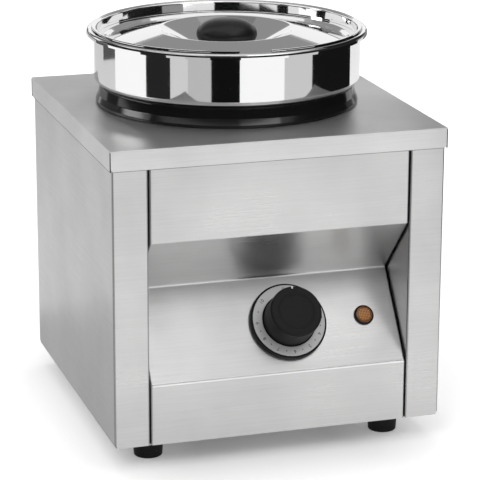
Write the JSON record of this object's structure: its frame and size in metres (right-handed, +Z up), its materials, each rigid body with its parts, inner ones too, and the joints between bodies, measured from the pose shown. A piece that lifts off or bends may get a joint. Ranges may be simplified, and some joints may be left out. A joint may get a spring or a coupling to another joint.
{
  "type": "bain marie",
  "caption": "Counter-top bain marie: a square sheet-steel casing with a sloped control panel and a heated water well that holds a round pot with a ladle-notched lid.",
  "frame": {"origin": "on the table plane, under the middle of the whole outline from the control knob to the cable gland", "axes": "+X to the right seen from the front, +Y from the control panel to the back, +Z up; the control panel faces -Y"},
  "size_m": [0.3, 0.3234, 0.3594],
  "materials": {
    "stainless_brushed": "stainless sheet with a fine even grain",
    "stainless_polished": "mirror-polished stainless",
    "zinc_plated_steel": "dull bright-zinc plate",
    "aluminium_plate": "milled",
    "copper": "satin",
    "ceramic": "off-white, fired",
    "rubber": "moulded, dull",
    "black_plastic": "moulded, fine texture",
    "black_phenolic": "moulded, soft sheen",
    "dial_silver": "satin, with plain numbers",
    "white_plastic": "matt",
    "amber_lens": "tinted, with a waffle pattern",
    "brown_insulation": "silicone",
    "blue_insulation": "silicone",
    "green_insulation": "silicone"
  },
  "bodies": {
    "casing": {"top_cover": "stainless_brushed", "right_side_panel": "stainless_brushed", "left_side_panel": "stainless_brushed", "front_panel": "stainless_brushed", "back_panel": "stainless_brushed", "bulb_clip": "stainless_brushed", "water_well": "stainless_polished", "base_plate": "zinc_plated_steel", "heating_element": "zinc_plated_steel", "heater_clamp": "zinc_plated_steel", "heater_nut": "zinc_plated_steel", "base_screw_1": "zinc_plated_steel", "base_screw_2": "zinc_plated_steel", "base_screw_3": "zinc_plated_steel", "base_screw_4": "zinc_plated_steel", "base_screw_5": "zinc_plated_steel", "base_screw_6": "zinc_plated_steel", "back_screw_1": "zinc_plated_steel", "back_screw_2": "zinc_plated_steel", "back_screw_3": "zinc_plated_steel", "back_screw_4": "zinc_plated_steel", "foot_screw_1": "zinc_plated_steel", "foot_screw_2": "zinc_plated_steel", "foot_screw_3": "zinc_plated_steel", "foot_screw_4": "zinc_plated_steel", "thermostat_screw_1": "zinc_plated_steel", "thermostat_screw_2": "zinc_plated_steel", "heat_spreader": "aluminium_plate", "thermostat_bulb": "copper", "earth_stud": "copper", "thermostat": "ceramic", "element_terminal_1": "ceramic", "element_terminal_2": "ceramic", "thermal_cutout": "ceramic", "terminal_block": "ceramic", "foot_front_left": "rubber", "foot_front_right": "rubber", "foot_back_left": "rubber", "foot_back_right": "rubber", "dial_bezel": "black_plastic", "lamp_bezel": "black_plastic", "seal_ring": "black_plastic", "cable_gland": "black_plastic", "gland_cap": "black_plastic", "gland_nut": "black_plastic", "dial_ring": "dial_silver", "lamp_body": "white_plastic", "lamp_lens": "amber_lens", "wire_block_to_thermostat": "brown_insulation", "wire_thermostat_to_cutout": "brown_insulation", "wire_cutout_to_element": "brown_insulation", "wire_block_to_element": "blue_insulation", "wire_earth": "green_insulation"},
    "knob": {"control_knob": "black_plastic", "knob_pointer": "white_plastic", "control_shaft": "zinc_plated_steel"},
    "pot": {"pot": "stainless_polished"},
    "lid": {"lid_shell": "stainless_polished", "lid_knob": "black_phenolic", "lid_knob_screw": "zinc_plated_steel"}
  },
  "joints": [
    {"name": "knob_turn", "type": "hinge", "parent": "casing", "child": "knob", "pos_m": [0.0153, -0.12404, 0.1125], "axis": [0, 0.8053, -0.5928], "range_deg": [0, 312]},
    {"name": "pot_lift", "type": "slide", "parent": "casing", "child": "pot", "axis": [0, 0, 1], "range_m": [0, 0.2]},
    {"name": "lid_lift", "type": "slide", "parent": "pot", "child": "lid", "axis": [0, 0, 1], "range_m": [0, 0.1]}
  ]
}
